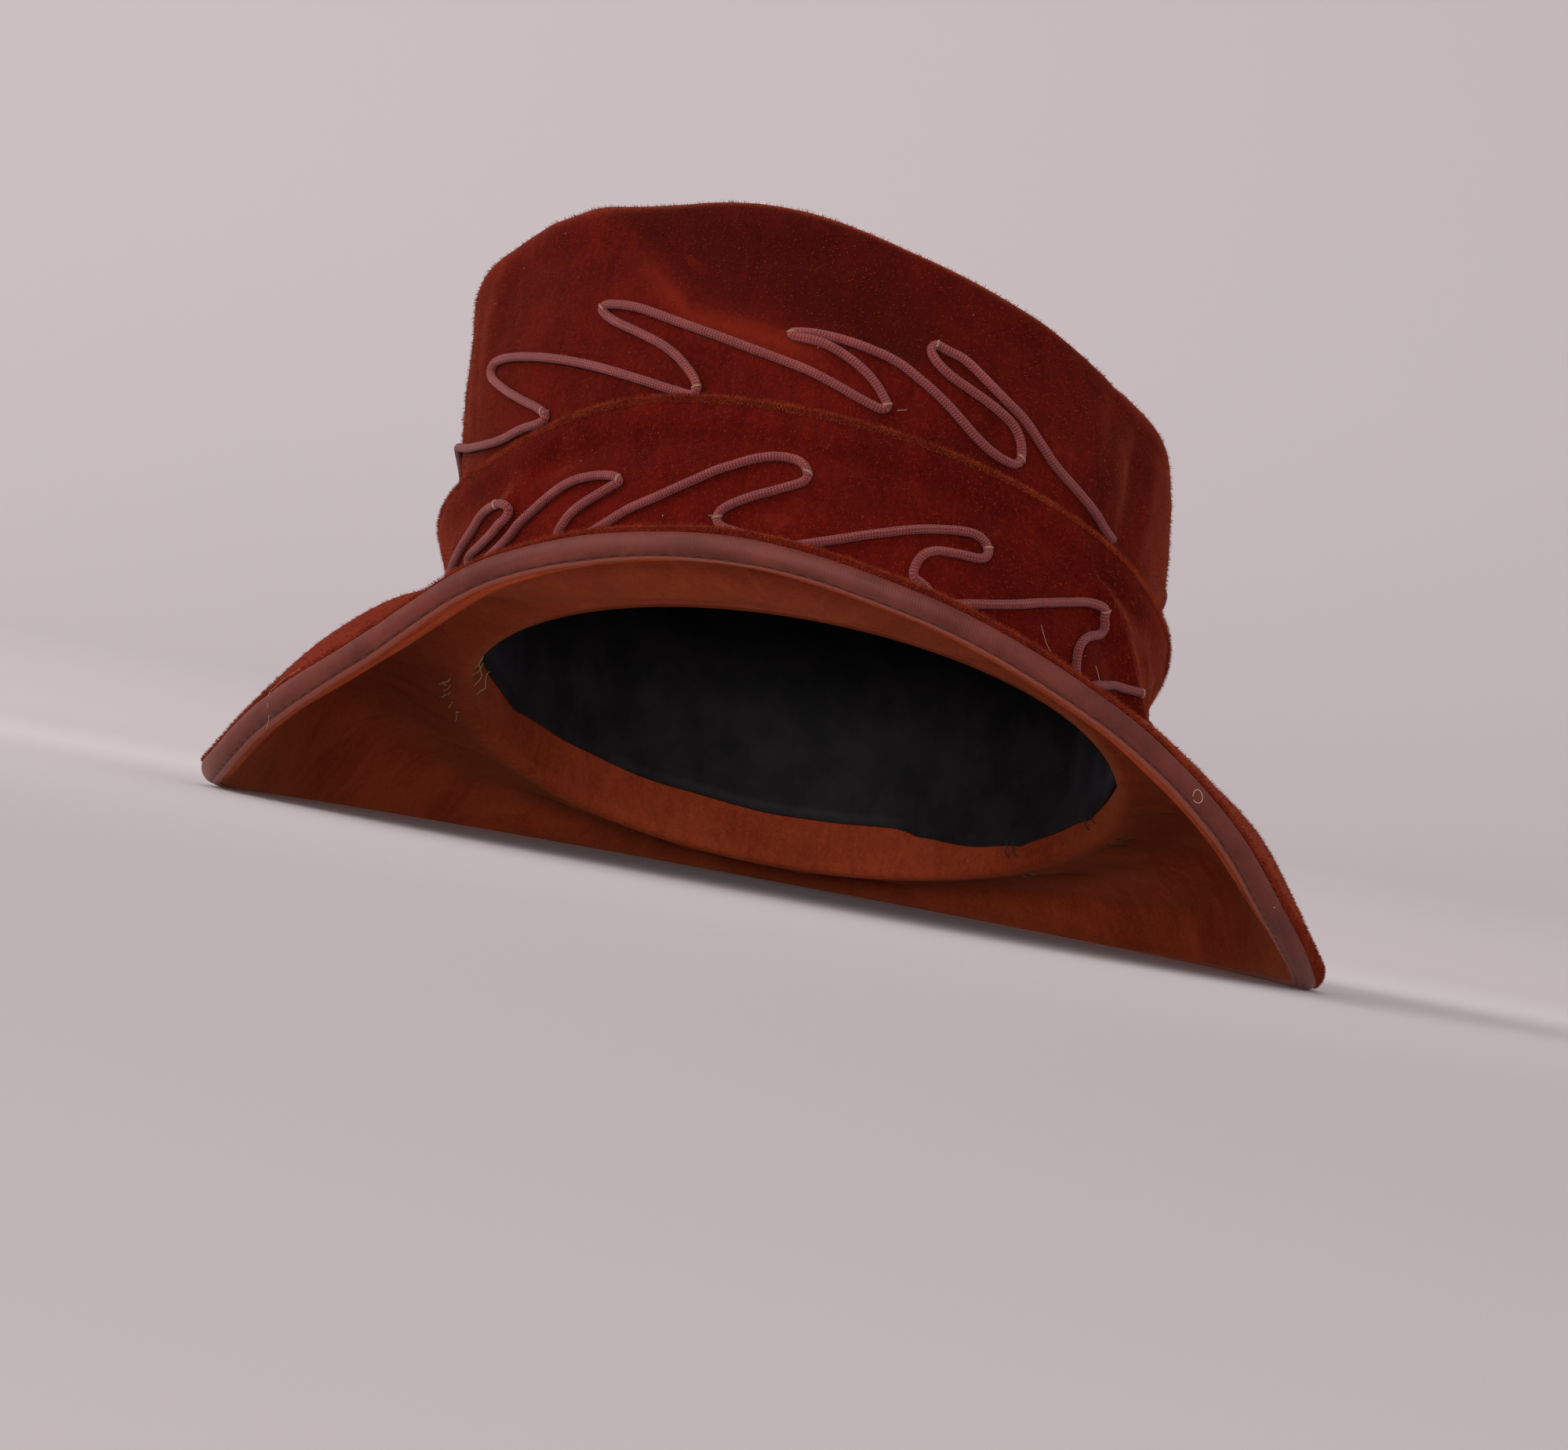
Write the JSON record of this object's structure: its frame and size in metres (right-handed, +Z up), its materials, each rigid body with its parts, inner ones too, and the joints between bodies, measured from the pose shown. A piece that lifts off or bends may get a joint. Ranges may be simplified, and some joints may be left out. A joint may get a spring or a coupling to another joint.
{
  "type": "cloche hat",
  "caption": "Velvet cloche hat with a deep soft crown, folded drape band, bell brim with a bound rolled edge, and couched cord trim.",
  "frame": {"origin": "on the surface the hat rests on, under the middle of its outline", "axes": "+Z up from the resting surface; -Y towards the front of the hat, where the brim lifts; +X towards the wearer's left"},
  "size_m": [0.2998, 0.2998, 0.1687],
  "materials": {
    "velvet": "cotton velvet with a worn nap",
    "facing_velvet": "lighter, flatter velvet",
    "ribbon": "ribbed ribbon",
    "lining": "plain dark cloth",
    "cord": "round braided cord"
  },
  "bodies": {
    "root": {"crown": "velvet", "drape_band": "velvet", "brim_top": "velvet", "brim_facing": "facing_velvet", "edge_binding": "ribbon", "lining": "lining", "upper_cord": "cord", "lower_cord": "cord"}
  },
  "joints": []
}
